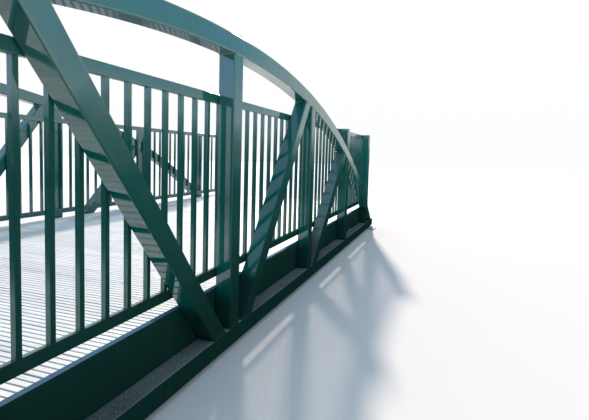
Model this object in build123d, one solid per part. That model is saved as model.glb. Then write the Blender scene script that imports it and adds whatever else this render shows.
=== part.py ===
from build123d import *
import os
from math import acos, asin, atan2, cos, degrees, floor, sin, sqrt

os.makedirs("parts", exist_ok=True)

# A half-through footbridge: two tied-arch trusses of square steel tube carry floor beams,
# stringers and a timber plank deck between them, with picket railings on their inner faces.
# Frame: X along the bridge, Y across it with the front truss at -Y, Z up.
# The origin lies under the middle of the deck, at the underside of the bearing plates.
INCH = 25.4
FOOT = 12 * INCH

# Overall layout
BAY = 57 * INCH
BAYS = 6
END_OVERHANG = 21 * INCH
WALK_WIDTH = 9 * FOOT

# Truss members: square tube with rounded corners
TUBE = 4 * INCH
TUBE_CORNER = 0.375 * INCH
DIAGONAL_TUBE = 4 * INCH
DIAGONAL_SETBACK = 2 * INCH
CAP_THICKNESS = 0.25 * INCH
ARCH_RISE = 63.75 * INCH
FOOT_SETBACK = 8.25 * INCH

# Floor framing: rolled channels and beams with tapered flanges
CHANNEL_DEPTH = 6 * INCH
CHANNEL_FLANGE = 48.8
CHANNEL_WEB = 5.1
CHANNEL_FLANGE_THICKNESS = 8.7
STRINGERS = 3
STRINGER_FLANGE = 84.6
STRINGER_WEB = 5.9
STRINGER_FLANGE_THICKNESS = 9.1
FLANGE_TAPER = 1 / 6
ROOT_RADIUS = 7
BRACE_TUBE = 2 * INCH
BRACE_CORNER = 0.25 * INCH
END_BEAM_INSET = 1 * INCH

# Deck
PLANK_THICKNESS = 3 * INCH
PLANK_END_GAP = 0.125 * INCH
EDGE_LEG = 2.75 * INCH
EDGE_THICKNESS = 0.25 * INCH
PAD_WIDTH = 3 * INCH

# Railing
RAIL_HEIGHT = 42 * INCH
RAIL_GAP = 2 * INCH
RAIL_DEPTH = 2 * INCH
RAIL_THICKNESS = 1 * INCH
PICKET = 0.875 * INCH
PICKET_PITCH = 4.875 * INCH
PICKET_SHIFT = -0.7 * INCH

# Bearings
BASE_LENGTH = 8 * INCH
BASE_WIDTH = 10 * INCH
BASE_THICKNESS = 0.75 * INCH
BASE_CORNER = 0.5 * INCH
SOLE_LENGTH = 6 * INCH
SOLE_THICKNESS = 0.5 * INCH
ANCHOR_SPACING = 7.5 * INCH
ANCHOR_HOLE = 0.875 * INCH

# Levels and lines that follow from them
CHORD_BOTTOM = BASE_THICKNESS + SOLE_THICKNESS
CHORD_TOP = CHORD_BOTTOM + TUBE
STRINGER_TOP = CHORD_TOP + CHANNEL_DEPTH
DECK_BOTTOM = STRINGER_TOP + EDGE_THICKNESS
DECK_TOP = DECK_BOTTOM + PLANK_THICKNESS
RAIL_BOTTOM = DECK_TOP + RAIL_GAP
RAIL_TOP = DECK_TOP + RAIL_HEIGHT
INNER_FACE = WALK_WIDTH / 2
OUTER_FACE = INNER_FACE + TUBE
TRUSS_LINE = (INNER_FACE + OUTER_FACE) / 2
HALF_LENGTH = BAYS * BAY / 2 + END_OVERHANG
LENGTH = 2 * HALF_LENGTH
PANEL_POINTS = [BAY * (i - BAYS / 2) for i in range(BAYS + 1)]
END_BEAM_X = HALF_LENGTH - END_BEAM_INSET - TUBE / 2

# The arch's centre line is one circle through its crown and its two feet on the chords' tops.
ARCH_FOOT = HALF_LENGTH - FOOT_SETBACK
MIDDLE_RISE = ARCH_RISE - TUBE / 2
ARCH_RADIUS = (MIDDLE_RISE**2 + ARCH_FOOT**2) / (2 * MIDDLE_RISE)
ARCH_OUTER_RADIUS = ARCH_RADIUS + TUBE / 2
ARCH_INNER_RADIUS = ARCH_RADIUS - TUBE / 2
ARCH_CENTRE_Z = CHORD_TOP + MIDDLE_RISE - ARCH_RADIUS

SIDES = {"front": -1, "back": 1}
ENDS = {"left": -1, "right": 1}
POST_NAMES = {1: "inner", 2: "outer", 3: "end"}


def block(x, y, z):
    """A plain box from its two limits along X, Y and Z, each pair in either order."""
    size = [abs(b - a) for a, b in (x, y, z)]
    middle = [(a + b) / 2 for a, b in (x, y, z)]
    return Pos(*middle) * Box(*size)


def tube(start, finish, across, size, corner):
    """A square tube's outer form between two points, with one flat pair square to a direction."""
    run = finish - start
    section = Plane(origin=start, x_dir=across, z_dir=run) * RectangleRounded(size, size, corner)
    return extrude(section, run.length)


def long_section(outline):
    """Extrude a closed outline of (Y, Z) points over the whole length of the bridge."""
    return extrude(Plane.YZ.offset(-HALF_LENGTH) * outline, LENGTH)


def truss_depth(side):
    """The two Y limits of the square tubes in one truss."""
    return side * INNER_FACE, side * OUTER_FACE


def arch_height(radius, x):
    """The height of a circle about the arch's centre, at a distance from mid-span."""
    return ARCH_CENTRE_Z + sqrt(radius**2 - x**2)


def arch_disc(side, radius):
    """A disc about the arch's centre, as deep as one truss, to trim other pieces to the arch."""
    return Pos(0, side * TRUSS_LINE, ARCH_CENTRE_Z) * Rot(90, 0, 0) * Cylinder(radius, TUBE)


def arch(side):
    """The bent top chord: the tube's section swung about the arch's centre, its feet cut level.

    Each rounded corner is one flat here, so that the bent faces and the level cuts meet cleanly.
    """
    section = chamfer(Rectangle(TUBE, TUBE).vertices(), TUBE_CORNER * (2 - sqrt(2)))
    buried = CHORD_TOP - 2 * TUBE
    half_turn = degrees(acos((buried - ARCH_CENTRE_Z) / ARCH_RADIUS))
    foot = Rot(0, -half_turn, 0) * Pos(0, side * TRUSS_LINE, ARCH_RADIUS) * Rot(0, 90, 0) * section
    hoop = revolve(Pos(0, 0, ARCH_CENTRE_Z) * foot, Axis((0, 0, ARCH_CENTRE_Z), (0, 1, 0)), 2 * half_turn)
    above = block((-HALF_LENGTH, HALF_LENGTH), truss_depth(side), (CHORD_TOP, CHORD_TOP + 2 * ARCH_RISE))
    return hoop & above


def bottom_chord(side):
    """The straight tie between the arch's feet."""
    reach = HALF_LENGTH - CAP_THICKNESS
    y, z = side * TRUSS_LINE, CHORD_TOP - TUBE / 2
    return tube(Vector(-reach, y, z), Vector(reach, y, z), (0, 1, 0), TUBE, TUBE_CORNER)


def chord_caps(side):
    """The plates that close the tie's two ends."""
    y, z = side * TRUSS_LINE, CHORD_TOP - TUBE / 2
    caps = []
    for end in ENDS.values():
        inside = Vector(end * (HALF_LENGTH - CAP_THICKNESS), y, z)
        caps.append(tube(inside, Vector(end * HALF_LENGTH, y, z), (0, 1, 0), TUBE, TUBE_CORNER))
    return Compound(children=caps)


def post(side, x):
    """A post seated under the arch. Where the arch is low, it goes on above it to the rail."""
    y = side * TRUSS_LINE
    top = max(RAIL_TOP, arch_height(ARCH_RADIUS, x))
    stick = tube(Vector(x, y, CHORD_TOP), Vector(x, y, top), (0, 1, 0), TUBE, TUBE_CORNER)
    return stick - (arch_disc(side, ARCH_OUTER_RADIUS) - arch_disc(side, ARCH_INNER_RADIUS))


def diagonal(side, end, foot):
    """A web member laid across a bay, between the tie and the arch.

    Its upper edge starts on the tie just clear of one post, and its lower edge ends under the
    arch just clear of the next. Its foot is cut level and its head is coped to the arch.
    """
    low_x = foot * BAY + TUBE / 2 + DIAGONAL_SETBACK
    high_x = (foot + 1) * BAY - TUBE / 2 - DIAGONAL_SETBACK
    rise = arch_height(ARCH_INNER_RADIUS, high_x) - CHORD_TOP
    reach = sqrt((high_x - low_x)**2 + rise**2)
    lean = atan2(rise, high_x - low_x) + asin(DIAGONAL_TUBE / reach)
    along = Vector(end * cos(lean), 0, sin(lean))
    below = Vector(end * sin(lean), 0, -cos(lean)) * (DIAGONAL_TUBE / 2)
    corner = Vector(end * low_x, side * TRUSS_LINE, CHORD_TOP) + below
    spare = along * 2 * DIAGONAL_TUBE
    bar = tube(corner - spare, corner + along * reach + spare, (0, 1, 0), DIAGONAL_TUBE, TUBE_CORNER)
    bay = (end * foot * BAY, end * (foot + 1) * BAY)
    panel = block(bay, truss_depth(side), (CHORD_TOP, CHORD_TOP + ARCH_RISE))
    return bar & panel & arch_disc(side, ARCH_INNER_RADIUS)


def floor_beam(x):
    """A cross tube between the two ties, flush with their tops."""
    z = CHORD_TOP - TUBE / 2
    return tube(Vector(x, -INNER_FACE, z), Vector(x, INNER_FACE, z), (1, 0, 0), TUBE, TUBE_CORNER)


def wind_braces():
    """One flat diagonal tube in each bay between the floor beams, alternating in direction."""
    braces = []
    z = CHORD_TOP - TUBE / 2
    for i in range(BAYS):
        near, far = PANEL_POINTS[i], PANEL_POINTS[i + 1]
        lean = 1 if i % 2 == 0 else -1
        window = block((near + TUBE / 2, far - TUBE / 2), (-INNER_FACE, INNER_FACE),
                       (CHORD_BOTTOM, CHORD_TOP))
        start = Vector(near, -lean * (INNER_FACE + TUBE / 2), z)
        finish = Vector(far, lean * (INNER_FACE + TUBE / 2), z)
        braces.append(tube(start, finish, (0, 0, 1), BRACE_TUBE, BRACE_CORNER) & window)
    return Compound(children=braces)


def edge_channel(side):
    """The outermost stringer: a channel with its web outwards, standing on the floor beams."""
    slope = FLANGE_TAPER * (CHANNEL_FLANGE - CHANNEL_WEB) / 2
    toe, root = CHANNEL_FLANGE_THICKNESS - slope, CHANNEL_FLANGE_THICKNESS + slope
    depth = CHANNEL_DEPTH
    profile = [(0, 0), (CHANNEL_FLANGE, 0), (CHANNEL_FLANGE, toe), (CHANNEL_WEB, root),
               (CHANNEL_WEB, depth - root), (CHANNEL_FLANGE, depth - toe), (CHANNEL_FLANGE, depth),
               (0, depth)]
    points = [(side * (INNER_FACE - u), CHORD_TOP + v) for u, v in profile]
    outline = make_face(Polyline(*points, close=True))
    roots = outline.vertices().sort_by(Axis.Z).filter_by(
        lambda corner: abs(abs(corner.X) - (INNER_FACE - CHANNEL_WEB)) < CHANNEL_WEB / 2)
    return long_section(fillet(roots, ROOT_RADIUS))


def stringer_lines():
    """The Y places of the inner stringers, evenly spread between the edge channels."""
    step = WALK_WIDTH / (STRINGERS + 1)
    return [step * (i + 1) - INNER_FACE for i in range(STRINGERS)]


def stringer(y):
    """A rolled beam that carries the planks between the edge channels."""
    slope = FLANGE_TAPER * (STRINGER_FLANGE - STRINGER_WEB) / 4
    toe, root = STRINGER_FLANGE_THICKNESS - slope, STRINGER_FLANGE_THICKNESS + slope
    flange, web, depth = STRINGER_FLANGE / 2, STRINGER_WEB / 2, CHANNEL_DEPTH
    half = [(flange, 0), (flange, toe), (web, root), (web, depth - root), (flange, depth - toe),
            (flange, depth)]
    mirrored = [(-u, v) for u, v in reversed(half)]
    points = [(y + u, CHORD_TOP + v) for u, v in half + mirrored]
    outline = make_face(Polyline(*points, close=True))
    roots = outline.vertices().filter_by(lambda corner: abs(corner.X - y) < STRINGER_WEB)
    return long_section(fillet(roots, ROOT_RADIUS))


def deck_pad(y):
    """A strip between an inner stringer and the planks."""
    return block((-HALF_LENGTH, HALF_LENGTH), (y - PAD_WIDTH / 2, y + PAD_WIDTH / 2),
                 (STRINGER_TOP, DECK_BOTTOM))


def edge_angle(side):
    """The angle that the plank ends sit in: one leg under them, one leg outside them."""
    profile = [(0, 0), (EDGE_LEG, 0), (EDGE_LEG, EDGE_THICKNESS), (EDGE_THICKNESS, EDGE_THICKNESS),
               (EDGE_THICKNESS, EDGE_LEG), (0, EDGE_LEG)]
    points = [(side * (INNER_FACE - u), STRINGER_TOP + v) for u, v in profile]
    return long_section(make_face(Polyline(*points, close=True)))


def deck():
    """The plank deck as one slab between the edge angles."""
    half = INNER_FACE - EDGE_THICKNESS - PLANK_END_GAP
    return block((-HALF_LENGTH, HALF_LENGTH), (-half, half), (DECK_BOTTOM, DECK_TOP))


def picket_lines():
    """The X places of the pickets, set out both ways from one beside mid-span."""
    reach = HALF_LENGTH - RAIL_DEPTH - PICKET
    first = -floor((reach + PICKET_SHIFT) / PICKET_PITCH)
    last = floor((reach - PICKET_SHIFT) / PICKET_PITCH)
    return [PICKET_SHIFT + i * PICKET_PITCH for i in range(first, last + 1)]


def railing(side):
    """Two rails, their pickets and the end stiles as one panel on the posts' inner faces."""
    y_rail = (side * INNER_FACE, side * (INNER_FACE - RAIL_THICKNESS))
    y_picket = side * (INNER_FACE - RAIL_THICKNESS / 2)
    clear = (RAIL_BOTTOM + RAIL_DEPTH, RAIL_TOP - RAIL_DEPTH)
    rails = block((-HALF_LENGTH, HALF_LENGTH), y_rail, (RAIL_BOTTOM, clear[0]))
    rails += block((-HALF_LENGTH, HALF_LENGTH), y_rail, (clear[1], RAIL_TOP))
    uprights = []
    for end in ENDS.values():
        uprights.append(block((end * HALF_LENGTH, end * (HALF_LENGTH - RAIL_DEPTH)), y_rail, clear))
    for x in picket_lines():
        uprights.append(block((x - PICKET / 2, x + PICKET / 2),
                              (y_picket - PICKET / 2, y_picket + PICKET / 2), clear))
    return rails.fuse(*uprights)


def bearing(side, end):
    """A base plate with two anchor holes and a sole plate, under the arch's foot."""
    at = Pos(end * ARCH_FOOT, side * TRUSS_LINE, 0)
    base = extrude(at * RectangleRounded(BASE_LENGTH, BASE_WIDTH, BASE_CORNER), BASE_THICKNESS)
    sole = extrude(at * Pos(0, 0, BASE_THICKNESS) * Rectangle(SOLE_LENGTH, TUBE), SOLE_THICKNESS)
    holes = at * GridLocations(1, ANCHOR_SPACING, 1, 2) * Cylinder(ANCHOR_HOLE / 2, 2 * BASE_THICKNESS)
    return base + sole - holes


def build_nodes():
    """Every piece of the bridge under the name of its node."""
    nodes = {
        "deck": deck(),
        "deck_pads": Compound(children=[deck_pad(y) for y in stringer_lines()]),
        "inner_stringers": Compound(children=[stringer(y) for y in stringer_lines()]),
        "floor_beams": Compound(children=[floor_beam(x) for x in PANEL_POINTS]),
        "wind_braces": wind_braces(),
    }
    for end_name, end in ENDS.items():
        nodes[f"{end_name}_end_beam"] = floor_beam(end * END_BEAM_X)
    for side_name, side in SIDES.items():
        nodes[f"{side_name}_bottom_chord"] = bottom_chord(side)
        nodes[f"{side_name}_chord_caps"] = chord_caps(side)
        nodes[f"{side_name}_arch"] = arch(side)
        nodes[f"{side_name}_edge_channel"] = edge_channel(side)
        nodes[f"{side_name}_edge_angle"] = edge_angle(side)
        nodes[f"{side_name}_railing"] = railing(side)
        nodes[f"{side_name}_centre_post"] = post(side, 0)
        for end_name, end in ENDS.items():
            for i, name in POST_NAMES.items():
                nodes[f"{side_name}_{end_name}_{name}_post"] = post(side, end * i * BAY)
            for foot, name in enumerate(("inner", "outer")):
                nodes[f"{side_name}_{end_name}_{name}_diagonal"] = diagonal(side, end, foot)
            nodes[f"{side_name}_{end_name}_bearing"] = bearing(side, end)
    return nodes


for node_name, shape in build_nodes().items():
    export_step(shape, f"parts/{node_name}.step")
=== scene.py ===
# %% [markdown]
# # A half-through footbridge in green enamel
# Two arched trusses of square steel tube stand on either side of a grooved plank deck, and
# picket railings run along their inner faces. The solids come measured and packed, so nothing
# here is resized: each step below finishes one of them, puts a better mesh in its place, or adds
# a small piece such as a bolt or a weld.

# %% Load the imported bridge
import random
from math import acos, asin, ceil, cos, degrees, floor, radians, sin, sqrt

import bmesh
import bpy
from mathutils import Matrix, Vector


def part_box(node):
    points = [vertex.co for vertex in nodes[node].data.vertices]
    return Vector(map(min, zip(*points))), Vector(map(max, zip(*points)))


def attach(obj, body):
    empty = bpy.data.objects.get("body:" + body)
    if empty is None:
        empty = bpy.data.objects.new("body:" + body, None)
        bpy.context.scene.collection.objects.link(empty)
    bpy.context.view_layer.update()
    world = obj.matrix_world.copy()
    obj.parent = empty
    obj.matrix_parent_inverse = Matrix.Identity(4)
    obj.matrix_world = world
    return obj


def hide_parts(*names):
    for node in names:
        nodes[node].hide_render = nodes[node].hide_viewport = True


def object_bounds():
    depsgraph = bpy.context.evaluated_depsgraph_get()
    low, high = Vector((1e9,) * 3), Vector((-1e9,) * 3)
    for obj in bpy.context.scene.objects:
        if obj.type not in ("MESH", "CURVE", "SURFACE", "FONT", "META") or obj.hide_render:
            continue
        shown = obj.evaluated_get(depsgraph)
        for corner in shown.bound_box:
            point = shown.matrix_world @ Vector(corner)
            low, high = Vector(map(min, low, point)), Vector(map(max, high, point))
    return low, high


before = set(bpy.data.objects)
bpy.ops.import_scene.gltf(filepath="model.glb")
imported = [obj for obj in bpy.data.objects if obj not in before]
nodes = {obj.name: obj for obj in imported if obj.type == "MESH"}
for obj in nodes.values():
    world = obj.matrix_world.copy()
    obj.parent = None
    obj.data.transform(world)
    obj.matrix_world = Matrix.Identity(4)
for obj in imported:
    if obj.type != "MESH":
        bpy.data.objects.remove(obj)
cad_low, cad_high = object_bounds()
print("nodes", len(nodes), "overall size", [round(c, 4) for c in cad_high - cad_low])

# %% [markdown]
# ## Measures
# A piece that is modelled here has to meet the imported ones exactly, so its sizes are read from
# their boxes. The arch's circle is worked out the same way: a circle is known from its height
# over a chord and half the chord's length.

# %% Read the sizes that the new pieces share
SIDES = {"front": -1, "back": 1}
ENDS = {"left": -1, "right": 1}
tie_low, tie_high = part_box("back_bottom_chord")
arch_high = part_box("back_arch")[1]
deck_low, deck_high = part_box("deck")
rail_low, rail_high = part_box("back_railing")

TUBE = tie_high.z - tie_low.z
TIE_TOP = tie_high.z
INNER_FACE = tie_low.y
TRUSS_LINE = (tie_low.y + tie_high.y) / 2
HALF_LENGTH = cad_high.x
CROWN = arch_high.z
arch_rise = CROWN - TIE_TOP
ARCH_OUTER_RADIUS = (arch_high.x**2 + arch_rise**2) / (2 * arch_rise)
ARCH_INNER_RADIUS = ARCH_OUTER_RADIUS - TUBE
ARCH_CENTRE_Z = CROWN - ARCH_OUTER_RADIUS
print("arch radius", round(ARCH_OUTER_RADIUS, 4), "tube", round(TUBE, 4))

# %% [markdown]
# ## Finishing a mesh
# Paint as glossy as this shows every fault in a mesh's shading. Each piece is shaded smooth,
# its real edges are marked sharp, and a Weighted Normal modifier lets the broad flat faces
# decide the normals, so that only the small rounded corners bend the reflections.

# %% Turn a bmesh into a finished piece of the bridge
SHARP_ANGLE = radians(40)


def finished(bm, name, material, stands_for=()):
    """Make the object, shade it and tie it to the bridge."""
    mesh = bpy.data.meshes.new(name)
    bm.to_mesh(mesh)
    bm.free()
    mesh.shade_smooth()
    mesh.set_sharp_from_angle(angle=SHARP_ANGLE)
    mesh.materials.append(material)
    piece = bpy.data.objects.new(name, mesh)
    bpy.context.scene.collection.objects.link(piece)
    weighted = piece.modifiers.new("Broad faces lead", "WEIGHTED_NORMAL")
    weighted.keep_sharp = True
    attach(piece, "root")
    if stands_for:
        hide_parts(*stands_for)
    print(name, len(mesh.polygons), "faces")
    return piece


# %% [markdown]
# ## One look for several finishes
# Dust lies on the enamel, the zinc and the rubber alike, and the enamel itself comes in several
# kinds, for the trusses, the arches, the railings and the deck's edge. What they share is built
# once as a node group with named inputs, and each material sets those inputs for itself. A group
# hands back only masks and heights, and the material decides what to do with them.

# %% Make nodes and fill their inputs


def feed(tree, node, inputs):
    """Fill or link a node's inputs, given by name or number."""
    for key, value in inputs.items():
        if isinstance(value, bpy.types.NodeSocket):
            tree.links.new(value, node.inputs[key])
        else:
            node.inputs[key].default_value = value


def add(tree, kind, inputs=None, **settings):
    """Add a node, set its properties and feed its inputs."""
    node = tree.nodes.new(kind)
    for key, value in settings.items():
        setattr(node, key, value)
    feed(tree, node, inputs or {})
    return node


def new_group(name, inputs, outputs):
    """An empty shader group, whose inputs are given with their defaults."""
    group = bpy.data.node_groups.new(name, "ShaderNodeTree")
    for label, value in inputs.items():
        socket = group.interface.new_socket(label, in_out="INPUT", socket_type="NodeSocketFloat")
        socket.default_value = value
    for label in outputs:
        group.interface.new_socket(label, in_out="OUTPUT", socket_type="NodeSocketFloat")
    print("group", name, "takes", ", ".join(inputs), "and gives", ", ".join(outputs))
    return group, group.nodes.new("NodeGroupInput").outputs, group.nodes.new("NodeGroupOutput")


# %% [markdown]
# Every look is put together from a few steps: where a point lies on the bridge, which way
# its face looks, noise that is stretched along the bridge's own axes, and a span of values that
# is brought onto another. With a helper for each step, a finish can be read like a recipe.

# %% Read places, slopes and noise
WHOLE = (0.0, 1.0)


def calc(tree, operation, *values, clamp=False):
    """A Math node's result."""
    node = add(tree, "ShaderNodeMath", dict(enumerate(values)), operation=operation,
               use_clamp=clamp)
    return node.outputs[0]


def product(tree, first, *others):
    """Several values multiplied together."""
    for other in others:
        first = calc(tree, "MULTIPLY", first, other)
    return first


def remap(tree, value, span, onto=WHOLE):
    """Bring a value from one span onto another, held at its ends."""
    node = add(tree, "ShaderNodeMapRange",
               {"Value": value, "From Min": span[0], "From Max": span[1],
                "To Min": onto[0], "To Max": onto[1]})
    return node.outputs["Result"]


def place_on_bridge(tree):
    """A point's place, measured from the bridge's own origin."""
    return add(tree, "ShaderNodeTexCoord").outputs["Object"]


def parts(tree, vector):
    """A vector's X, Y and Z."""
    return add(tree, "ShaderNodeSeparateXYZ", {0: vector}).outputs


def facing(tree):
    """The X, Y and Z of the way a face looks."""
    return parts(tree, add(tree, "ShaderNodeNewGeometry").outputs["Normal"])


def noise(tree, scale, detail=3.0, stretch=(1, 1, 1), roughness=0.5, shift=0.0):
    """Noise that is stretched or squeezed along the bridge's own axes."""
    turned = add(tree, "ShaderNodeMapping",
                 {"Vector": place_on_bridge(tree), "Location": (shift, shift, shift),
                  "Scale": stretch})
    made = add(tree, "ShaderNodeTexNoise",
               {"Vector": turned.outputs[0], "Scale": scale, "Detail": detail,
                "Roughness": roughness})
    return made.outputs["Fac"]


# %% [markdown]
# ## Settled dust
# Dust lies where it can rest, on level faces and on those that lean by less than some thirty
# degrees, and it is thinner in some patches than in others. The mask is the face's own upward
# slope, broken up by a broad noise for the patches and a fine one for the grit.

# %% Build the dust group
DUST_RESTS = (0.62, 0.85)
PATCH_DETAIL = 6
PATCHES, PATCH_MASK = (0.25, 0.62), (0.60, 1.0)
GRIT_NOISE = {"scale": 260.0, "detail": 3}
GRIT, GRIT_MASK = (0.38, 0.62), (0.42, 1.0)


def dust_group():
    """Where dust lies, from 0 to 1."""
    group, given, result = new_group(
        "settled_dust", {"Amount": 1.0, "Patch Scale": 6.0}, ["Mask"])
    level = remap(group, facing(group)["Z"], DUST_RESTS)
    patches = remap(group, noise(group, given["Patch Scale"], PATCH_DETAIL), PATCHES, PATCH_MASK)
    grit = remap(group, noise(group, **GRIT_NOISE), GRIT, GRIT_MASK)
    mask = product(group, level, patches, grit)
    feed(group, result, {"Mask": calc(group, "MULTIPLY", mask, given["Amount"], clamp=True)})
    return group


SETTLED_DUST = dust_group()

# %% [markdown]
# ## Rain streaks
# Rain carries dirt down the upright faces and leaves thin runs. Noise that is drawn out along Z
# gives lines that follow the water, and a second, broad noise leaves gaps between them.

# %% Build the streak group
STREAKED_SLOPES = (0.75, 0.2)
RUN_SCALE = 34.0
RUN_NOISE = {"detail": 4, "stretch": (1, 1, 0.045), "roughness": 0.6}
RUNS = (0.52, 0.74)
GAP_NOISE = {"scale": 2.3, "detail": 3, "shift": 4.0}
GAPS = (0.42, 0.62)


def streak_group():
    """Dirt drawn down upright faces, from 0 to 1."""
    group, given, result = new_group(
        "rain_streaks", {"Amount": 0.5, "Fineness": 1.0}, ["Mask"])
    upright = remap(group, calc(group, "ABSOLUTE", facing(group)["Z"]), STREAKED_SLOPES)
    lines = noise(group, product(group, given["Fineness"], RUN_SCALE), **RUN_NOISE)
    runs = remap(group, lines, RUNS)
    gaps = remap(group, noise(group, **GAP_NOISE), GAPS)
    mask = product(group, runs, gaps, upright)
    feed(group, result, {"Mask": calc(group, "MULTIPLY", mask, given["Amount"], clamp=True)})
    return group


RAIN_STREAKS = streak_group()

# %% [markdown]
# ## Waves in a coat of paint
# Paint on structural tube is never quite flat: the tube's own wall gives it a slow wave and the
# spray gun a finer skin. The group adds both as one height. It only turns the colour coat, while
# the clear coat over it flows out smooth and mirrors without a ripple.

# %% Build the paint skin group
SLOW_WAVE = {"scale": 7.0, "detail": 1}
FINE_SKIN = {"scale": 160.0, "detail": 1}


def skin_group():
    """The height of a sprayed coat, in units of its Wave and Skin inputs."""
    group, given, result = new_group("sprayed_skin", {"Wave": 1.0, "Skin": 1.0}, ["Height"])
    slow = product(group, noise(group, **SLOW_WAVE), given["Wave"])
    fine = product(group, noise(group, **FINE_SKIN), given["Skin"])
    feed(group, result, {"Height": calc(group, "ADD", slow, fine)})
    return group


SPRAYED_SKIN = skin_group()

# %% [markdown]
# ## Weathered outer faces
# The faces that look away from the walkway take splashes and damp from below, and there the coat
# has lost its shine. A face looks outwards where its normal and its own place across the bridge
# have the same sign. Hands and bags dull the other upright faces above the knee, the railings'
# more than the trusses'.
#
# Two more masks change the colour. The underside of the arch is never rinsed by rain, so a pale
# film blurs what it mirrors, thicker towards the left end; its pale colour is partly painted
# reflection.
# The lowest part of the outer faces, and all the steel below the deck, are darker and browner:
# this is painted shade, and splashes there also take the shine.

# %% Build the group for a dulled coat
UPRIGHT_SLOPES = (0.5, 0.2)
ABOVE_KNEE, KNEE_SHARE = (0.66, 0.78), (0.25, 1.0)
OUTWARD = (0.3, 1.1)
EDGE_NOISE = {"scale": 5.0, "detail": 5}
EDGE_WANDERS, WANDER = (0.3, 0.7), (-0.06, 0.06)
DOWNWARD_SLOPES = (-0.75, -0.92)
LEFT_END_SPAN = (0.3, -0.4)
LOW_OUTSIDE_HEIGHTS = (0.75, 0.30)
DECK_UNDERSIDE, UNDER_DECK_SHARE = (0.41, 0.33), (0.0, 0.90)


def dulled_group():
    """Masks from 0 to 1: shine lost, film and painted reflection, and painted shade low down."""
    group, given, result = new_group(
        "dulled_coat",
        {"Top": 1.32, "Reach": 0.45, "All Sides": 0.22, "Underside": 0.0, "Shaded And Splashed": 1.0},
        ["Mask", "Film And Reflection", "Shade And Splash"])
    at = parts(group, place_on_bridge(group))
    face = facing(group)

    upright = remap(group, calc(group, "ABSOLUTE", face["Z"]), UPRIGHT_SLOPES)
    within_reach = remap(group, at["Z"], ABOVE_KNEE, KNEE_SHARE)
    handled = product(group, upright, within_reach, given["All Sides"])
    outside = remap(group, product(group, face["Y"], at["Y"]), OUTWARD)
    side = calc(group, "MAXIMUM", outside, handled)
    uneven = remap(group, noise(group, **EDGE_NOISE), EDGE_WANDERS, WANDER)
    fallen = calc(group, "SUBTRACT", given["Top"], at["Z"])
    low = calc(group, "DIVIDE", calc(group, "ADD", fallen, uneven), given["Reach"], clamp=True)

    # Film on the arch's underside, thicker to the left; its colour is partly painted reflection.
    below = remap(group, face["Z"], DOWNWARD_SLOPES)
    toward_left_end = remap(group, at["X"], LEFT_END_SPAN)

    # Painted shade: darker low on the outer faces and on all the steel below the deck.
    height = calc(group, "ADD", at["Z"], uneven)
    low_outside = product(group, outside, remap(group, height, LOW_OUTSIDE_HEIGHTS))
    under_deck = remap(group, height, DECK_UNDERSIDE, UNDER_DECK_SHARE)
    shade_and_splash = calc(group, "MAXIMUM", low_outside, under_deck)
    feed(group, result, {"Mask": product(group, side, low),
                         "Film And Reflection": product(group, below, toward_left_end, given["Underside"]),
                         "Shade And Splash": product(group, shade_and_splash, given["Shaded And Splashed"])})
    return group


DULLED_COAT = dulled_group()

# %% [markdown]
# ## From masks to a material
# A mask only says where. A finish is built up like the real one, colour over colour, each laid
# on where its mask says, and relief comes from a height that turns the normals. These helpers
# are for the materials, in which the groups are put to use.

# %% Lay colours over one another


def use(tree, group, inputs=None):
    """Place a group in a material with its own values, and return what it gives."""
    return add(tree, "ShaderNodeGroup", inputs, node_tree=group).outputs


def new_material(name):
    """A material with its node tree and its shader."""
    material = bpy.data.materials.new(name)
    material.use_nodes = True
    print("material", name)
    return material, material.node_tree, material.node_tree.nodes["Principled BSDF"]


def mix(tree, factor, first, second):
    """Blend two colours."""
    node = add(tree, "ShaderNodeMix", {"Factor": factor}, data_type="RGBA")
    for key, value in (("A", first), ("B", second)):
        socket = next(s for s in node.inputs if s.name == key and s.type == "RGBA")
        if isinstance(value, bpy.types.NodeSocket):
            tree.links.new(value, socket)
        else:
            socket.default_value = (*value, 1)
    return next(s for s in node.outputs if s.type == "RGBA")


def layered(tree, colour, *layers):
    """Lay colours over the first one in turn, each where its mask says."""
    for mask, over in layers:
        colour = mix(tree, mask, colour, over)
    return colour


def bumped(tree, height, strength, distance):
    """The normals of a surface that is raised by a height."""
    inputs = {"Height": height, "Strength": strength, "Distance": distance}
    return add(tree, "ShaderNodeBump", inputs).outputs[0]


# %% [markdown]
# ## Green enamel
# The steel is a deep blue-green, close to black where it mirrors nothing, and as bright as the
# sky where it mirrors that. So the finish is made of two layers. The colour coat is dark and has
# no highlight of its own, and a clear coat over it mirrors strongly, because its index of
# refraction is high. Where the coat has lost its shine the clear layer fades out, and dull paint
# is left. Dust turns the upward faces grey, and pale specks of droppings and lichen dot them.

# %% Choose the enamel's colours
ENAMEL = (0.002, 0.098, 0.079)
ENAMEL_FADED = (0.005, 0.114, 0.092)
ENAMEL_DULL = (0.012, 0.063, 0.049)
# Painted shade for the low outer faces and the steel below the deck.
ENAMEL_PAINTED_SHADE = (0.006, 0.029, 0.022)
# A pale film, partly painted reflection of the deck, for the arch's underside.
FILM_AND_PAINTED_REFLECTION = (0.10, 0.17, 0.18)
# The nosings' light blue is painted reflection of the sky.
NOSING_PAINTED_SKY = (0.045, 0.110, 0.185)
NOSING_PAINTED_SKY_FADED = (0.075, 0.140, 0.215)
DUST = (0.29, 0.29, 0.275)
STREAK_DIRT = (0.030, 0.040, 0.034)
SPECKS = (0.42, 0.42, 0.40)

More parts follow.
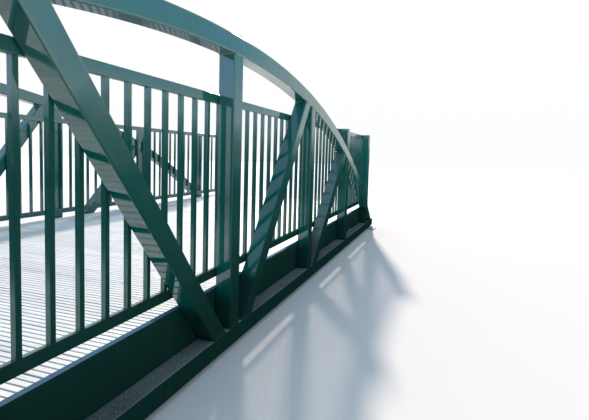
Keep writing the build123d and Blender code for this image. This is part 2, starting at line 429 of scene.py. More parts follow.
# %% Mix the enamel
FADING_NOISE = {"scale": 1.7, "detail": 4}
FADING = (0.35, 0.7)
SPECK_NOISE = {"scale": 130.0, "detail": 2.0, "shift": 7.0}
SPECK_CORES = (0.60, 0.66)
STREAK_DULLS = 0.5
SPLASH_DULLS = 0.8
DUST_DULLS = 0.5
FILM_DULLS = 0.35
SHINE_FALLS_OFF = 3.0
COAT_IOR = 2.0
COAT_ROUGHNESS = 0.07
PAINT_ROUGHNESS = (0.35, 0.8)
PAINT_HEIGHTS = {"Wave": 1.0, "Skin": 0.05}
PAINT_BUMP, PAINT_BUMP_DISTANCE = 0.2, 0.001


def painted_steel(name, dust=0.8, streaks=0.35, dulled=None, enamel=(ENAMEL, ENAMEL_FADED)):
    """Enamel with its dust and streaks, dulled as the group's inputs say."""
    material, tree, shader = new_material(name)
    dusty = use(tree, SETTLED_DUST, {"Amount": dust})["Mask"]
    streaky = use(tree, RAIN_STREAKS, {"Amount": streaks})["Mask"]
    skin = use(tree, SPRAYED_SKIN, PAINT_HEIGHTS)["Height"]
    dulling = use(tree, DULLED_COAT, dulled)
    # The film mask's pale colour is partly painted reflection.
    worn, film_and_reflection, shade_and_splash = dulling["Mask"], dulling["Film And Reflection"], dulling["Shade And Splash"]
    faded = remap(tree, noise(tree, **FADING_NOISE), FADING)
    spots = remap(tree, noise(tree, **SPECK_NOISE), SPECK_CORES)
    # Painted shade is laid on where the shade-and-splash mask says.
    colour = layered(tree, mix(tree, faded, *enamel),
                     (worn, ENAMEL_DULL), (shade_and_splash, ENAMEL_PAINTED_SHADE), (film_and_reflection, FILM_AND_PAINTED_REFLECTION),
                     (streaky, STREAK_DIRT), (dusty, DUST), (product(tree, spots, dusty), SPECKS))

    dirty = calc(tree, "MAXIMUM", dusty, product(tree, streaky, STREAK_DULLS))
    lost = worn
    for mask, share in ((shade_and_splash, SPLASH_DULLS), (dirty, DUST_DULLS), (film_and_reflection, FILM_DULLS)):
        lost = calc(tree, "MAXIMUM", lost, product(tree, mask, share))
    kept = calc(tree, "SUBTRACT", 1.0, lost, clamp=True)
    feed(tree, shader, {"Base Color": colour,
                        "Roughness": remap(tree, lost, WHOLE, PAINT_ROUGHNESS),
                        "Specular IOR Level": 0.0,
                        "Normal": bumped(tree, skin, PAINT_BUMP, PAINT_BUMP_DISTANCE),
                        "Coat Weight": calc(tree, "POWER", kept, SHINE_FALLS_OFF),
                        "Coat IOR": COAT_IOR,
                        "Coat Roughness": COAT_ROUGHNESS})
    return material


# %% [markdown]
# The kinds of enamel differ in what has happened to them. The arches' lost shine starts lower
# and their undersides carry the film, partly painted reflection. Hands keep the railings dull and
# free of dust. The deck's edge is swept clean by the rain from the planks, and so are the nosings,
# whose light blue is painted reflection of the sky and which get no painted shade.

# %% Make the kinds of enamel
GREEN_ENAMEL = painted_steel("green_enamel")
ARCH_ENAMEL = painted_steel("arch_enamel", dulled={"Top": 1.10, "Underside": 1.0})
RAILING_ENAMEL = painted_steel("railing_enamel", dust=0.1,
                               dulled={"Reach": 0.30, "All Sides": 0.62})
EDGE_ENAMEL = painted_steel("edge_enamel", dust=0.1)
NOSING_ENAMEL = painted_steel("nosing_enamel", dust=0.1, streaks=0.1,
                              dulled={"Top": 0.0, "Shaded And Splashed": 0.0},
                              enamel=(NOSING_PAINTED_SKY, NOSING_PAINTED_SKY_FADED))

# %% [markdown]
# ## Weathered timber
# The planks have bleached almost white. Their grain runs along each board, across the bridge,
# so every noise is drawn out along Y. Each board has its own tone, which comes from a number
# stored on its faces. In the grooves and the joints, below the level of the tread, the colour is
# darker: dirt, and painted shade.

# %% Choose the timber's colours and patterns
TIMBER_PALE = (0.93, 0.89, 0.83)
TIMBER_DEEP = (0.58, 0.535, 0.48)
TIMBER_GRAIN = (0.36, 0.32, 0.28)
TIMBER_GREY = (0.52, 0.51, 0.49)
TIMBER_CRACK = (0.12, 0.105, 0.095)
# Dirt and painted shade for the grooves and joints.
GROOVE_DIRT_AND_SHADE = (0.13, 0.135, 0.14)
BOARD_TONE = "board_tone"
GRAIN_NOISE = {"scale": 150.0, "detail": 5, "stretch": (1.0, 0.022, 1.0), "roughness": 0.7}
BAND_NOISE = {"scale": 26.0, "detail": 4, "stretch": (1.0, 0.07, 1.0), "shift": 5.0}
STAIN_NOISE = {"scale": 4.5, "detail": 6, "stretch": (1.0, 0.45, 1.0), "roughness": 0.6,
               "shift": 9.0}
FIBRE_NOISE = {"scale": 420.0, "detail": 3, "stretch": (1.0, 0.015, 1.0)}
CRACK_NOISE = {"scale": 60.0, "detail": 5, "stretch": (1.0, 0.035, 1.0), "shift": 3.0}

# %% Mix the timber
BANDS, BAND_MASK = (0.48, 0.75), (0.0, 0.38)
TONES, TONE_MASK = (0.2, 1.0), (0.0, 0.25)
GRAIN, GRAIN_MASK = (0.52, 0.66), (0.0, 0.40)
STAINS, STAIN_MASK = (0.52, 0.75), (0.0, 0.45)
CRACKS, CRACK_DARKENS = (0.655, 0.70), 0.75
DIRT_AND_SHADE_STARTS, DIRT_AND_SHADE_FULL, DIRT_AND_SHADE_MASK = 0.0018, 0.0040, (0.0, 0.65)
GRAIN_RELIEF, FIBRE_RELIEF = 0.6, 0.4
TIMBER_BUMP, TIMBER_BUMP_DISTANCE = 0.6, 0.0015
TIMBER_ROUGHNESS = 0.62
TIMBER_SPECULAR = 0.5


def bleached_timber():
    """Bleached boards with grain, checks and a tone of their own."""
    material, tree, shader = new_material("bleached_timber")
    tone = add(tree, "ShaderNodeAttribute", attribute_name=BOARD_TONE).outputs["Fac"]
    grain, bands, stains, fibre = (
        noise(tree, **pattern) for pattern in (GRAIN_NOISE, BAND_NOISE, STAIN_NOISE, FIBRE_NOISE))
    cracks = remap(tree, noise(tree, **CRACK_NOISE), CRACKS)
    height = parts(tree, place_on_bridge(tree))["Z"]
    tread = deck_high.z
    # Darker below the tread: dirt and painted shade in the grooves and joints.
    dirt_and_shade = remap(tree, height, (tread - DIRT_AND_SHADE_STARTS, tread - DIRT_AND_SHADE_FULL), DIRT_AND_SHADE_MASK)
    colour = layered(tree, TIMBER_PALE,
                     (remap(tree, bands, BANDS, BAND_MASK), TIMBER_DEEP),
                     (remap(tree, tone, TONES, TONE_MASK), TIMBER_DEEP),
                     (remap(tree, grain, GRAIN, GRAIN_MASK), TIMBER_GRAIN),
                     (remap(tree, stains, STAINS, STAIN_MASK), TIMBER_GREY),
                     (product(tree, cracks, CRACK_DARKENS), TIMBER_CRACK),
                     (dirt_and_shade, GROOVE_DIRT_AND_SHADE))
    relief = calc(tree, "ADD", product(tree, grain, GRAIN_RELIEF),
                  product(tree, fibre, FIBRE_RELIEF))
    relief = calc(tree, "SUBTRACT", relief, cracks)
    feed(tree, shader, {"Base Color": colour,
                        "Roughness": TIMBER_ROUGHNESS,
                        "Specular IOR Level": TIMBER_SPECULAR,
                        "Normal": bumped(tree, relief, TIMBER_BUMP, TIMBER_BUMP_DISTANCE)})
    return material


BLEACHED_TIMBER = bleached_timber()

# %% [markdown]
# ## Galvanised steel and rubber
# The bearing plates and the deck's bolts are dipped in zinc, which dries in a pattern of grey
# crystals. A Voronoi texture gives each crystal its own grey and its own polish. The pads under
# the planks are plain black rubber. Dust lies on both.

# %% Mix the zinc and the rubber
ZINC_PALE = (0.46, 0.47, 0.48)
ZINC_DEEP = (0.29, 0.30, 0.31)
ZINC_CRYSTALS = 90.0
ZINC_ROUGHNESS = (0.34, 0.55)
ZINC_METAL = (0.9, 0.1)
ZINC_DUST = 0.4
RUBBER = (0.022, 0.022, 0.023)
RUBBER_DUST = 0.5
RUBBER_SCALE = 60.0
RUBBER_SPAN, RUBBER_ROUGHNESS = (0.3, 0.7), (0.6, 0.8)


def galvanised(name):
    """Zinc with its crystals, a little dust and no polish."""
    material, tree, shader = new_material(name)
    crystals = add(tree, "ShaderNodeTexVoronoi",
                   {"Vector": place_on_bridge(tree), "Scale": ZINC_CRYSTALS})
    flakes = parts(tree, crystals.outputs["Color"])
    dusty = use(tree, SETTLED_DUST, {"Amount": ZINC_DUST})["Mask"]
    zinc = mix(tree, flakes["X"], ZINC_PALE, ZINC_DEEP)
    feed(tree, shader, {"Base Color": mix(tree, dusty, zinc, DUST),
                        "Roughness": remap(tree, flakes["Y"], WHOLE, ZINC_ROUGHNESS),
                        "Metallic": remap(tree, dusty, WHOLE, ZINC_METAL)})
    return material


def black_rubber():
    """Dull rubber, greyed by dust."""
    material, tree, shader = new_material("black_rubber")
    dusty = use(tree, SETTLED_DUST, {"Amount": RUBBER_DUST})["Mask"]
    rough = remap(tree, noise(tree, RUBBER_SCALE), RUBBER_SPAN, RUBBER_ROUGHNESS)
    feed(tree, shader, {"Base Color": mix(tree, dusty, RUBBER, DUST), "Roughness": rough})
    return material


ZINC = galvanised("zinc")
BLACK_RUBBER = black_rubber()

# %% [markdown]
# ## The straight steel
# Ties, posts, diagonals, beams and braces are lengths of tube whose solids are already right,
# down to the ends that are coped to the arch. They only need clean meshes. Each node's loose
# triangles are copied and merged, flat ones are dissolved into single faces, and rolled
# sections get their sharp edges eased, because no rolled or sheared steel has a knife edge. The
# channels and angles along the deck's edge wear the cleaner enamel.

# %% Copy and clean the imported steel
MERGE = 1e-5
FLAT = radians(0.5)
EASE_STEPS = 2


def merged(node):
    """A node's mesh as a bmesh, its corners merged and its flat faces whole."""
    bm = bmesh.new()
    bm.from_mesh(nodes[node].data)
    bmesh.ops.remove_doubles(bm, verts=bm.verts, dist=MERGE)
    bmesh.ops.dissolve_limit(bm, angle_limit=FLAT, verts=bm.verts, edges=bm.edges,
                             use_dissolve_boundaries=False)
    return bm


def dressed(node, material, ease=0.0):
    """Stand a clean copy in for a node, with its sharp edges eased if a radius is given."""
    bm = merged(node)
    if ease:
        sharp = [e for e in bm.edges if e.is_manifold and e.calc_face_angle() > SHARP_ANGLE]
        bmesh.ops.bevel(bm, geom=sharp, offset=ease, offset_type="OFFSET", segments=EASE_STEPS,
                        profile=0.5, affect="EDGES", material=-1, clamp_overlap=True)
    return finished(bm, "finished_" + node, material, [node])


SKIPPED = ("arch", "railing", "deck", "pads", "bearing")
ROLLED = ("channel", "angle", "stringers")
ROLLED_EASE = 0.0015
for node in sorted(nodes):
    if not node.endswith(SKIPPED):
        enamel = EDGE_ENAMEL if "_edge_" in node else GREEN_ENAMEL
        dressed(node, enamel, ROLLED_EASE if node.endswith(ROLLED) else 0.0)

# %% [markdown]
# The bearing plates are cut from thick plate, so their edges are eased too. The pads are cut
# strip and keep a smaller radius.

# %% Finish the bearings and the pads
PLATE_EASE = 0.002
PAD_EASE = 0.001
for node in sorted(nodes):
    if node.endswith("bearing"):
        dressed(node, ZINC, PLATE_EASE)
dressed("deck_pads", BLACK_RUBBER, PAD_EASE)

# %% [markdown]
# ## The bent chord
# The arch is one tube rolled to a radius of almost eight metres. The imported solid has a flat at
# each corner where the real tube is round, so the mesh is made again. A square ring with its
# corners rounded is spun about the arch's centre, far enough to pass below the tie at both
# ends. Both feet are then cut level on the tie's top and filled.

# %% Spin the arches
CORNER = 0.0095
CORNER_STEPS = 5
ARCH_STEPS = 180
BELOW_TIE = TIE_TOP - 2 * TUBE
HALF_TURN = acos((BELOW_TIE - ARCH_CENTRE_Z) / (ARCH_OUTER_RADIUS - TUBE / 2))


def arch_mesh(side):
    """One arch as a closed shell."""
    bm = bmesh.new()
    ring = bmesh.ops.create_grid(bm, x_segments=1, y_segments=1, size=TUBE / 2)
    bmesh.ops.bevel(bm, geom=ring["verts"], offset=CORNER, offset_type="OFFSET",
                    segments=CORNER_STEPS, profile=0.5, affect="VERTICES", material=-1)
    bmesh.ops.delete(bm, geom=bm.faces[:], context="FACES_ONLY")
    centre = Vector((0, side * TRUSS_LINE, ARCH_CENTRE_Z))
    crown = Matrix.Translation((0, side * TRUSS_LINE, CROWN - TUBE / 2))
    bmesh.ops.transform(bm, verts=bm.verts, matrix=crown @ Matrix.Rotation(radians(90), 4, "Y"))
    bmesh.ops.rotate(bm, verts=bm.verts, cent=centre, matrix=Matrix.Rotation(-HALF_TURN, 3, "Y"))
    bmesh.ops.spin(bm, geom=bm.verts[:] + bm.edges[:], cent=centre, axis=(0, 1, 0),
                   angle=2 * HALF_TURN, steps=ARCH_STEPS)
    cut = bmesh.ops.bisect_plane(bm, geom=bm.verts[:] + bm.edges[:] + bm.faces[:],
                                 plane_co=(0, 0, TIE_TOP), plane_no=(0, 0, -1), clear_outer=True)
    rims = [g for g in cut["geom_cut"] if isinstance(g, bmesh.types.BMEdge)]
    bmesh.ops.edgeloop_fill(bm, edges=rims)
    bmesh.ops.recalc_face_normals(bm, faces=bm.faces)
    return bm


for name, side in SIDES.items():
    finished(arch_mesh(side), f"{name}_bent_chord", ARCH_ENAMEL, [f"{name}_arch"])

# %% [markdown]
# ## The railings
# Two rails of flat tube with square pickets between them. The pickets are set out from one near
# mid-span at an even pitch. All the bars of one kind are made as boxes first, and one bevel
# rounds their long corners together, which is quicker than rounding a hundred bars in turn.

# %% Set out the railing
RAIL_DEPTH = 0.0508
PICKET = 0.022225
PICKET_PITCH = 0.123825
PICKET_SHIFT = -0.01778
RAIL_CORNER, RAIL_STEPS = 0.0055, 3
PICKET_CORNER, PICKET_STEPS = 0.002, 2
ALONG = 0.99
picket_reach = HALF_LENGTH - RAIL_DEPTH - PICKET
first_picket = -floor((picket_reach + PICKET_SHIFT) / PICKET_PITCH)
last_picket = floor((picket_reach - PICKET_SHIFT) / PICKET_PITCH)
picket_places = [PICKET_SHIFT + i * PICKET_PITCH for i in range(first_picket, last_picket + 1)]
print("pickets a side", len(picket_places))


def add_boxes(bm, boxes):
    """Add boxes, each given by two opposite corners, and return their vertices box by box."""
    made = []
    for low, high in boxes:
        middle, size = (low + high) / 2, high - low
        place = Matrix.Translation(middle) @ Matrix.Diagonal((*(abs(c) for c in size), 1))
        made.append(bmesh.ops.create_cube(bm, size=1, matrix=place)["verts"])
    return made


def round_long_edges(bm, groups, axis, radius, steps):
    """Round the edges that run along one axis."""
    edges = dict.fromkeys(e for verts in groups for v in verts for e in v.link_edges
                          if abs((e.verts[1].co - e.verts[0].co).normalized()[axis]) > ALONG)
    bmesh.ops.bevel(bm, geom=list(edges), offset=radius, offset_type="OFFSET", segments=steps,
                    profile=0.5, affect="EDGES", material=-1)


# %% [markdown]
# A small weld holds each picket to the rails. It is a cone with four sides, turned by an eighth
# of a circle so that its corners meet the picket's, and a little narrower across the rail.

# %% Build the railings
WELD_LEG = 0.001
WELD_HEIGHT = 0.004
WELD_NARROWER = 0.84


def railing_mesh(side):
    """Rails, end stiles and pickets of one side, with a small weld at each picket's end."""
    bm = bmesh.new()
    y_back, y_front = side * rail_high.y, side * rail_low.y
    y_mid = (y_back + y_front) / 2
    foot, head = rail_low.z + RAIL_DEPTH, rail_high.z - RAIL_DEPTH
    rails = [(Vector((-HALF_LENGTH, y_back, z)), Vector((HALF_LENGTH, y_front, z + RAIL_DEPTH)))
             for z in (rail_low.z, head)]
    round_long_edges(bm, add_boxes(bm, rails), 0, RAIL_CORNER, RAIL_STEPS)
    stiles = [(Vector((end * HALF_LENGTH, y_back, foot)),
               Vector((end * (HALF_LENGTH - RAIL_DEPTH), y_front, head))) for end in ENDS.values()]
    round_long_edges(bm, add_boxes(bm, stiles), 2, RAIL_CORNER, RAIL_STEPS)
    half = Vector((PICKET / 2, PICKET / 2, 0))
    pickets = [(Vector((x, y_mid, foot)) - half, Vector((x, y_mid, head)) + half)
               for x in picket_places]
    round_long_edges(bm, add_boxes(bm, pickets), 2, PICKET_CORNER, PICKET_STEPS)
    narrow = PICKET / sqrt(2)
    for x in picket_places:
        for z, up in ((foot, 1), (head, -1)):
            place = (Matrix.Translation((x, y_mid, z + up * WELD_HEIGHT / 2))
                     @ Matrix.Diagonal((1, WELD_NARROWER, up, 1))
                     @ Matrix.Rotation(radians(45), 4, "Z"))
            bmesh.ops.create_cone(bm, cap_ends=True, segments=4, radius1=narrow + WELD_LEG,
                                  radius2=narrow, depth=WELD_HEIGHT, matrix=place)
    bmesh.ops.recalc_face_normals(bm, faces=bm.faces)
    return bm


for name, side in SIDES.items():
    finished(railing_mesh(side), f"{name}_rails_and_pickets", RAILING_ENAMEL,
             [f"{name}_railing"])

# %% [markdown]
# ## The plank deck
# Boards six inches wide lie across the bridge with a gap of a few millimetres. Each has four
# grooves against slipping, spaced so that grooves and gaps make one even rhythm. The boards are
# laid both ways from a joint beside mid-span, and the two end ones are ripped to fit. Their tops
# stay a bolt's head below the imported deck's top, and each drops by an amount of its own.

# %% Set out the boards
BOARD_WIDTH = 0.1524
BOARD_GAP = 0.005
BOARD_PITCH = BOARD_WIDTH + BOARD_GAP
FIRST_JOINT = -0.066
GROOVES = 4
GROOVE_WIDTH = 0.0088
GROOVE_DEPTH = 0.004
BOARD_EASE = 0.003
BOARD_DROP = 0.0012
NARROWEST_BOARD = 4 * BOARD_EASE
BOLT_PROUD = 0.0010
random.seed(7)


def board_places():
    """Each board's two edges along the bridge and its top, which is never quite level."""
    boards = []
    reach = ceil(HALF_LENGTH / BOARD_PITCH) + 1
    for i in range(-reach, reach):
        joint = FIRST_JOINT + i * BOARD_PITCH
        low_x = max(joint + BOARD_GAP / 2, -HALF_LENGTH)
        high_x = min(joint + BOARD_PITCH - BOARD_GAP / 2, HALF_LENGTH)
        if high_x - low_x > NARROWEST_BOARD:
            top = deck_high.z - BOLT_PROUD - random.uniform(0, BOARD_DROP)
            boards.append((low_x, high_x, top))
    return boards


BOARDS = board_places()
print("boards", len(BOARDS))

# %% [markdown]
# A board is one outline, drawn for its own width and then extruded along its length. The outline
# runs round three flat sides and over the top, where its corners are cut and its grooves let in.
# Every board keeps a random number on its faces, from which the timber takes its tone.

# %% Lay the planks
BOARD_LENGTH = deck_high.y - deck_low.y


def board_outline(low_x, high_x, top):
    """Points of one board's end, from its underside round over the grooved top."""
    bottom = deck_low.z
    points = [(low_x, bottom), (low_x, top - BOARD_EASE), (low_x + BOARD_EASE, top)]
    start = low_x - BOARD_GAP / 2
    for i in range(1, GROOVES + 1):
        middle = start + i * BOARD_PITCH / (GROOVES + 1)
        lip, floor_half = GROOVE_WIDTH / 2, GROOVE_WIDTH / 4
        if low_x + 2 * BOARD_EASE < middle - lip and middle + lip < high_x - 2 * BOARD_EASE:
            points += [(middle - lip, top), (middle - floor_half, top - GROOVE_DEPTH),
                       (middle + floor_half, top - GROOVE_DEPTH), (middle + lip, top)]
    return points + [(high_x - BOARD_EASE, top), (high_x, top - BOARD_EASE), (high_x, bottom)]


def deck_mesh():
    """Every board in one mesh, each with a tone of its own."""
    bm = bmesh.new()
    tone = bm.faces.layers.float.new(BOARD_TONE)
    for low_x, high_x, top in BOARDS:
        outline = board_outline(low_x, high_x, top)
        verts = [bm.verts.new((x, deck_low.y, z)) for x, z in outline]
        end = bm.faces.new(verts)
        made = bmesh.ops.extrude_face_region(bm, geom=[end], use_keep_orig=True)["geom"]
        moved = [g for g in made if isinstance(g, bmesh.types.BMVert)]
        bmesh.ops.translate(bm, verts=moved, vec=(0, BOARD_LENGTH, 0))
        shade = random.random()
        for face in {f for v in verts + moved for f in v.link_faces}:
            face[tone] = shade
    bmesh.ops.recalc_face_normals(bm, faces=bm.faces)
    return bm


finished(deck_mesh(), "grooved_planks", BLEACHED_TIMBER, ["deck"])

# %% [markdown]
# ## The nosings
# A sloping bar of enamelled steel lies along each edge of the deck. It stands on the upright leg
# of the edge angle, closes the sawn ends of the planks and sheds their water. Because it faces
# the sky, it shows as a bright line even where everything round it is dark. It is a long box
# whose upper outer edge is pushed in, with its corners eased.

# %% Add a nosing to each edge of the deck
NOSING_TOP_WIDTH = 0.0015
NOSING_EASE, NOSING_STEPS = 0.0006, 2
angle_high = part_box("back_edge_angle")[1]


def nosing_mesh():
    """Both nosings, from the ends of the planks out over the edge angles."""
    bm = bmesh.new()
    top = deck_high.z - BOLT_PROUD
    for side in SIDES.values():
        inside, outside = side * deck_high.y, side * angle_high.y
        bar = (Vector((-HALF_LENGTH, inside, angle_high.z)), Vector((HALF_LENGTH, outside, top)))
        verts = add_boxes(bm, [bar])[0]
        for v in verts:
            if abs(v.co.y - outside) < MERGE and abs(v.co.z - top) < MERGE:
                v.co.y = inside + side * NOSING_TOP_WIDTH
        round_long_edges(bm, [verts], 0, NOSING_EASE, NOSING_STEPS)
    bmesh.ops.recalc_face_normals(bm, faces=bm.faces)
    return bm


# The nosings' light blue paint is painted reflection of the sky.
finished(nosing_mesh(), "deck_nosings", NOSING_ENAMEL)

# %% [markdown]
# ## The filled seams
# The edge channel stands right beside the tie, whose round corner would leave a dark groove
# between them. Sealant fills it almost to the top, and dust lies across it. A plain bar beside
# each channel is enough, because its lower half is inside the tie.

# %% Fill the seams between ties and channels
SEAM_WIDTH = 0.0057
SEAM_DEPTH = 0.006
SEAM_SUNK = 0.0008


def seam_mesh():
    """Both seams, from end to end."""
    bm = bmesh.new()
    top = TIE_TOP - SEAM_SUNK
    for side in SIDES.values():
        add_boxes(bm, [(Vector((-HALF_LENGTH, side * INNER_FACE, top - SEAM_DEPTH)),
                        Vector((HALF_LENGTH, side * (INNER_FACE + SEAM_WIDTH), top)))])
    bmesh.ops.recalc_face_normals(bm, faces=bm.faces)
    return bm


finished(seam_mesh(), "filled_seams", GREEN_ENAMEL)

# %% [markdown]
# ## Weld beads
# Every joint of the trusses is welded all round. A bead is too small to model as a section of
# its own, but its line catches the light at each foot and head, so each is a thin rope along
# the joint. A plane laid through a member just clear of its end cuts new edges into it, and
# following these from one to the next until each ring is whole gives the joint's outline.

# %% Find the outlines of the joints
CUT_IN = 0.0006


def rings_of(edges):
    """Sort cut edges into closed rings of points."""
    left, rings = set(edges), []
    for start in edges:
        if start not in left:
            continue
        left.discard(start)
        ring = [start.verts[0], start.verts[1]]
        while True:
            onward = next((e for e in ring[-1].link_edges if e in left), None)
            if onward is None:
                break
            left.discard(onward)
            ring.append(onward.other_vert(ring[-1]))
        rings.append([v.co.copy() for v in ring[:-1]])
    return rings


def joint_rings(node, point, normal, near=None):
    """The outlines where a plane crosses a node's solids, or only those near one X."""
    bm = merged(node)
    cut = bmesh.ops.bisect_plane(bm, geom=bm.verts[:] + bm.edges[:] + bm.faces[:],
                                 plane_co=point, plane_no=normal)
    rings = rings_of([g for g in cut["geom_cut"] if isinstance(g, bmesh.types.BMEdge)])
    bm.free()
    if near is None:
        return rings
    return [r for r in rings if abs(sum(p.x for p in r) / len(r) - near) < TUBE]


def arch_plane(x, radius, clear):
    """A point and the normal of the plane that touches the arch over one X."""
    tilt = x / ARCH_OUTER_RADIUS
    normal = Vector((tilt, 0, sqrt(1 - tilt**2)))
    return Vector((0, 0, ARCH_CENTRE_Z)) + normal * (radius + clear), normal


# %% [markdown]
# Feet are cut just above the tie's level top, and heads by the plane that touches the arch over
# the member. A diagonal meets the arch at a slant, so it is cut a little further from its end.

# %% Gather the joints of a truss
TRUSS_POSTS = ["centre_post"] + [f"{end}_{place}_post" for end in ENDS
                                 for place in ("inner", "outer", "end")]
TRUSS_DIAGONALS = [f"{end}_{place}_diagonal" for end in ENDS for place in ("inner", "outer")]
HEAD_SETBACK = TUBE * 0.7
SLANT_CUT_IN = 3 * CUT_IN
UP = Vector((0, 0, 1))


def truss_rings(name):
    """Every welded outline of one truss."""
    foot = Vector((0, 0, TIE_TOP + CUT_IN))
    rings = joint_rings(f"{name}_arch", foot, UP)
    for post in TRUSS_POSTS:
        node = f"{name}_{post}"
        low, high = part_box(node)
        x = (low.x + high.x) / 2
        rings += joint_rings(node, foot, UP)
        rings += joint_rings(node, *arch_plane(x, ARCH_INNER_RADIUS, -CUT_IN))
        rings += joint_rings(node, *arch_plane(x, ARCH_OUTER_RADIUS, CUT_IN))
    for diagonal in TRUSS_DIAGONALS:
        node = f"{name}_{diagonal}"
        low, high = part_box(node)
        heads_left = abs(low.x) > abs(high.x)
        head = low.x + HEAD_SETBACK if heads_left else high.x - HEAD_SETBACK
        rings += joint_rings(node, foot, UP)
        rings += joint_rings(node, *arch_plane(head, ARCH_INNER_RADIUS, -SLANT_CUT_IN), near=head)
    print(name, "truss has", len(rings), "welded outlines")
    return rings


# %% [markdown]
# A curve along each ring, thicker and thinner by turns, has the ripple of a hand-laid weld. It is
# made a mesh at once, so that all the beads of a truss are one piece.

# %% Run the beads
BEAD_RADIUS = 0.0042
BEAD_ROUNDNESS = 1
BEAD_RIPPLE = 0.0035
BEAD_UNEVEN = (0.92, 1.08)
BEAD_VALLEY = 0.8


def add_bead(curve, ring):
    """A closed spline along one ring, with points as close as the weld's ripples."""
    points = []
    for here, there in zip(ring, ring[1:] + ring[:1]):
        steps = max(1, round((there - here).length / BEAD_RIPPLE))
        points += [here.lerp(there, i / steps) for i in range(steps)]
    spline = curve.splines.new("POLY")
    spline.points.add(len(points) - 1)
    for i, (spot, place) in enumerate(zip(spline.points, points)):
        spot.co = (*place, 1)
        spot.radius = random.uniform(*BEAD_UNEVEN) * (1.0 if i % 2 else BEAD_VALLEY)
    spline.use_cyclic_u = True


def beads(name, rings):
    """One mesh of all the beads along the given rings."""
    curve = bpy.data.curves.new(name + "_line", "CURVE")
    curve.dimensions = "3D"
    curve.bevel_depth = BEAD_RADIUS
    curve.bevel_resolution = BEAD_ROUNDNESS
    for ring in rings:
        add_bead(curve, ring)
    rope = bpy.data.objects.new(name + "_rope", curve)
    bpy.context.scene.collection.objects.link(rope)
    bpy.context.view_layer.update()
    bm = bmesh.new()
    bm.from_mesh(bpy.data.meshes.new_from_object(rope))
    bpy.data.objects.remove(rope)
    return finished(bm, name, GREEN_ENAMEL)


for name in SIDES:
    beads(f"{name}_weld_beads", truss_rings(name))

# %% [markdown]
# ## Deck bolts
# Two bolts hold each board to each stringer under it, on the flats between the grooves. A
# head is sunk until only a millimetre of it stands proud. It is a cone with its top cut off and
# with few faces, because there are hundreds.

# %% Set the deck bolts
BOLT_RADIUS = 0.0055
BOLT_TOP_RADIUS = BOLT_RADIUS * 0.6
BOLT_SIDES = 10
BOLT_OFFSET = BOARD_PITCH / (GROOVES + 1)
PAD_HALF_WIDTH = 0.0381
pads_low, pads_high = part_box("deck_pads")
outer_line = (pads_high.y - pads_low.y) / 2 - PAD_HALF_WIDTH
bolt_lines = [-outer_line, 0.0, outer_line]


def bolt_mesh():
    """Every bolt head of the deck."""
    bm = bmesh.new()
    wide = [board for board in BOARDS if board[1] - board[0] > BOARD_WIDTH / 2]
    for low_x, high_x, top in wide:
        middle = (low_x + high_x) / 2
        for x in (middle - BOLT_OFFSET, middle + BOLT_OFFSET):
            for y in bolt_lines:
                bmesh.ops.create_cone(bm, cap_ends=True, segments=BOLT_SIDES, radius1=BOLT_RADIUS,
                                      radius2=BOLT_TOP_RADIUS, depth=2 * BOLT_PROUD,
                                      matrix=Matrix.Translation((x, y, top)))
    return bm


finished(bolt_mesh(), "deck_bolts", ZINC)

# %% [markdown]
# ## The floor
# The floor is a pale and plain disc, and its colour pales a little more with distance, so that it
# meets the dome without a line. It is there for the bridge's shadow and is not part of it, so it
# only stands on the stage.

# %% Lay the floor
FLOOR_NEAR = (0.85, 0.765, 0.695)
FLOOR_FAR = (0.97, 0.945, 0.935)
FLOOR_RADIUS, FLOOR_SIDES = 60.0, 64
FLOOR_PALES = (6.0, 26.0)
FLOOR_ROUGHNESS, FLOOR_SPECULAR = 0.9, 0.1


def pale_floor():
    """A wide pale floor under the bridge."""
    bm = bmesh.new()
    bmesh.ops.create_circle(bm, cap_ends=True, segments=FLOOR_SIDES, radius=FLOOR_RADIUS)
    mesh = bpy.data.meshes.new("floor")
    bm.to_mesh(mesh)
    bm.free()
    floor_piece = bpy.data.objects.new("floor", mesh)
    bpy.context.scene.collection.objects.link(floor_piece)
    material, tree, shader = new_material("pale_floor")
    away = add(tree, "ShaderNodeVectorMath", {0: place_on_bridge(tree)}, operation="LENGTH")
    paling = remap(tree, away.outputs["Value"], FLOOR_PALES)
    feed(tree, shader, {"Base Color": mix(tree, paling, FLOOR_NEAR, FLOOR_FAR),
                        "Roughness": FLOOR_ROUGHNESS,
                        "Specular IOR Level": FLOOR_SPECULAR})
    mesh.materials.append(material)


pale_floor()

# %% [markdown]
# ## Sun and dome
# A broad, low and slightly warm sun shines from beyond the right end. It is softer than the real
# sun, so the shadows of the pickets have soft edges.

# %% Hang the sun
SUN_FROM = Vector((0.87, 0.26, 0.42))
SUN_STRENGTH = 5.05
SUN_SOFTNESS = radians(3)
SUN_COLOUR = (1.0, 0.925, 0.86)
sun_data = bpy.data.lights.new("low_sun", "SUN")
sun_data.energy = SUN_STRENGTH
sun_data.angle = SUN_SOFTNESS
sun_data.color = SUN_COLOUR
sun = bpy.data.objects.new("low_sun", sun_data)
sun.rotation_euler = SUN_FROM.to_track_quat("Z", "Y").to_euler()
bpy.context.scene.collection.objects.link(sun)
print("sun stands", round(degrees(asin(SUN_FROM.normalized().z))), "degrees high")

# %% [markdown]
# The rest of the light is a soft dome. The enamel shows what it mirrors, so the dome's colours
# matter as much as the paint's: white ahead, blue behind, paler beside the bridge, a deeper blue
# overhead and a pale haze along the horizon.

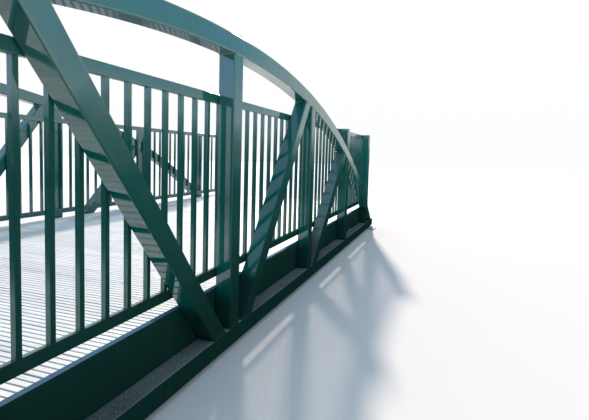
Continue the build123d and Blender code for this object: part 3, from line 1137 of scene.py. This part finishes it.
# %% Paint the dome
DOME_AHEAD = (1.0, 1.0, 1.0)
DOME_BEHIND = (0.66, 1.06, 1.68)
DOME_OVERHEAD = (0.31, 0.46, 0.64)
DOME_NEAR = (0.39, 0.69, 0.97)
DOME_BESIDE = (0.96, 1.08, 1.22)
DOME_HAZE = (0.98, 0.99, 1.0)
TURNS_WHITE = (-0.35, 0.5)
TURNS_OVERHEAD = (0.45, 0.8)
TURNS_HAZY = (0.22, 0.0)
TURNS_NEAR = (-0.26, -0.42)
TURNS_BESIDE = (-0.6, -0.9)


def soft_dome():
    """A dome that is white where the camera looks, blue behind it and hazy at the horizon."""
    world = bpy.data.worlds.new("soft_dome")
    bpy.context.scene.world = world
    world.use_nodes = True
    tree = world.node_tree
    sky = tree.nodes["Background"]
    way = parts(tree, add(tree, "ShaderNodeTexCoord").outputs["Generated"])
    colour = layered(tree, DOME_BEHIND,
                     (remap(tree, way["X"], TURNS_WHITE), DOME_AHEAD),
                     (remap(tree, way["Y"], TURNS_NEAR), DOME_NEAR),
                     (remap(tree, way["Y"], TURNS_BESIDE), DOME_BESIDE),
                     (remap(tree, way["Z"], TURNS_OVERHEAD), DOME_OVERHEAD),
                     (remap(tree, way["Z"], TURNS_HAZY), DOME_HAZE))
    feed(tree, sky, {"Color": colour, "Strength": 1.0})
    print("dome", world.name)


soft_dome()

# %% [markdown]
# ## The camera
# The camera stands beside the left half of the bridge, a little over a metre up, and looks along
# it towards the right. Its place, turn and lens were fitted to the edges of the real bridge. The
# lens looks at a point a little above the picture's middle, hence the shift.

# %% Place the camera
IMAGE_WIDTH = 589
FOCAL_PIXELS = 442.41
PRINCIPAL_DROP = 25.395
SENSOR_WIDTH = 36.0
NEAREST_SEEN = 0.05
EYE = Vector((-2.2264, -2.5736, 1.1150))
YAW, PITCH, ROLL = 0.33055, -0.06676, 0.027597
camera_data = bpy.data.cameras.new("camera")
camera_data.sensor_width = SENSOR_WIDTH
camera_data.lens = FOCAL_PIXELS * SENSOR_WIDTH / IMAGE_WIDTH
camera_data.shift_y = -PRINCIPAL_DROP / IMAGE_WIDTH
camera_data.clip_start = NEAREST_SEEN
camera = bpy.data.objects.new("camera", camera_data)
ahead = Vector((cos(YAW) * cos(PITCH), sin(YAW) * cos(PITCH), sin(PITCH)))
level = Vector((sin(YAW), -cos(YAW), 0))
over = level.cross(ahead)
right = level * cos(ROLL) + over * sin(ROLL)
up = over * cos(ROLL) - level * sin(ROLL)
turn = Matrix((right, up, -ahead)).transposed().to_4x4()
camera.matrix_world = Matrix.Translation(EYE) @ turn
bpy.context.scene.collection.objects.link(camera)
bpy.context.scene.camera = camera
bpy.context.scene.view_settings.view_transform = "Standard"
print("lens", round(camera_data.lens, 2), "mm")
